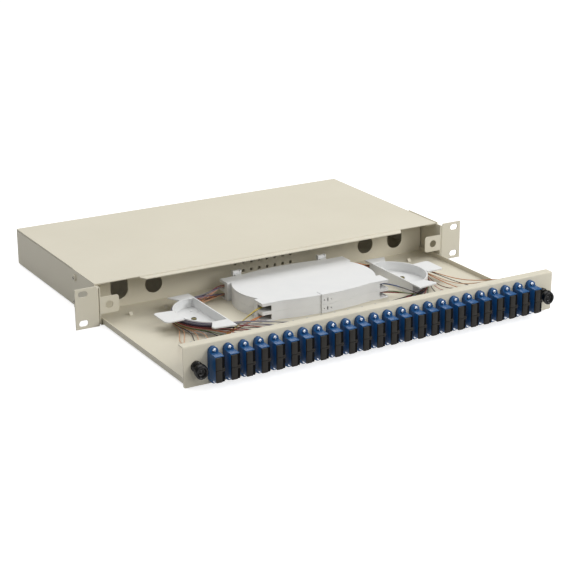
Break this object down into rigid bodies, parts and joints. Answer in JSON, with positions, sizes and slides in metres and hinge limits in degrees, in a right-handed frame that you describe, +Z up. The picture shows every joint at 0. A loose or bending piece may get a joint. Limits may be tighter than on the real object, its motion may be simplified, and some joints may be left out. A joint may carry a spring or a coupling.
{
  "type": "fibre splice box",
  "caption": "Rack-mount fibre splice box: a folded steel sleeve with a sliding drawer that holds splice cassettes and a front row of capped duplex adapters.",
  "frame": {"origin": "centre of the four rack ear slots, on the ears' front plane", "axes": "+X along the width, -Y towards the front where the drawer pulls out, +Z up"},
  "size_m": [0.4826, 0.454, 0.0438],
  "materials": {
    "powder_coat": "fine matt powder coat, beige grey",
    "zinc_steel": "zinc plated",
    "blue_plastic": "satin moulded plastic",
    "black_plastic": "satin moulded plastic",
    "white_plastic": "satin moulded plastic",
    "clear_sleeve": "heat-shrunk clear sleeve over a steel rod",
    "fibre_jacket": "coloured tight-buffered fibre"
  },
  "bodies": {
    "housing": {"housing_shell": "powder_coat", "top_cover": "powder_coat", "ear_bracket_left": "powder_coat", "ear_bracket_right": "powder_coat", "bracket_screws": "zinc_steel"},
    "drawer": {"drawer_tray": "powder_coat", "adapter_01": "blue_plastic", "adapter_02": "blue_plastic", "adapter_03": "blue_plastic", "adapter_04": "blue_plastic", "adapter_05": "blue_plastic", "adapter_06": "blue_plastic", "adapter_07": "blue_plastic", "adapter_08": "blue_plastic", "adapter_09": "blue_plastic", "adapter_10": "blue_plastic", "adapter_11": "blue_plastic", "adapter_12": "blue_plastic", "adapter_13": "blue_plastic", "adapter_14": "blue_plastic", "adapter_15": "blue_plastic", "adapter_16": "blue_plastic", "adapter_17": "blue_plastic", "adapter_18": "blue_plastic", "adapter_19": "blue_plastic", "adapter_20": "blue_plastic", "adapter_21": "blue_plastic", "adapter_22": "blue_plastic", "adapter_23": "blue_plastic", "adapter_24": "blue_plastic", "adapter_screws": "zinc_steel", "fastener_grommet_left": "black_plastic", "fastener_grommet_right": "black_plastic", "fibre_guide_left": "white_plastic", "fibre_guide_right": "white_plastic", "guide_screws": "zinc_steel", "cassette_lower": "white_plastic", "cassette_screws": "zinc_steel", "splice_comb_lower": "white_plastic", "splice_sleeves_lower": "clear_sleeve", "pigtail_plugs_upper": "blue_plastic", "pigtail_plugs_lower": "blue_plastic", "pigtails_left_rear": "fibre_jacket", "pigtails_left_front": "fibre_jacket", "pigtails_right_rear": "fibre_jacket", "pigtails_right_front": "fibre_jacket", "pigtail_fibres_left": "fibre_jacket", "pigtail_fibres_right": "fibre_jacket"},
    "plunger_left": {"fastener_plunger_left": "black_plastic"},
    "plunger_right": {"fastener_plunger_right": "black_plastic"},
    "upper_cassette": {"cassette_upper": "white_plastic", "splice_comb_upper": "white_plastic", "splice_sleeves_upper": "clear_sleeve"},
    "lid": {"cassette_lid": "white_plastic"},
    "caps_upper": {"dust_caps_upper": "black_plastic"},
    "caps_lower": {"dust_caps_lower": "black_plastic"}
  },
  "joints": [
    {"name": "drawer_slide", "type": "slide", "parent": "housing", "child": "drawer", "axis": [0, -1, 0], "range_m": [-0.1977, 0.0366]},
    {"name": "plunger_left_push", "type": "slide", "parent": "drawer", "child": "plunger_left", "axis": [0, 1, 0], "range_m": [0, 0.0032]},
    {"name": "plunger_right_push", "type": "slide", "parent": "drawer", "child": "plunger_right", "axis": [0, 1, 0], "range_m": [0, 0.0032]},
    {"name": "upper_cassette_hinge", "type": "hinge", "parent": "drawer", "child": "upper_cassette", "pos_m": [0.009, 0.018, -0.00685], "axis": [-1, 0, 0], "range_deg": [0, 36]},
    {"name": "lid_hinge", "type": "hinge", "parent": "upper_cassette", "child": "lid", "pos_m": [0.009, 0.018, 0.00275], "axis": [-1, 0, 0], "range_deg": [0, 45]},
    {"name": "upper_caps_pull", "type": "slide", "parent": "drawer", "child": "caps_upper", "axis": [0, -1, 0], "range_m": [0, 0.012]},
    {"name": "lower_caps_pull", "type": "slide", "parent": "drawer", "child": "caps_lower", "axis": [0, -1, 0], "range_m": [0, 0.012]}
  ]
}
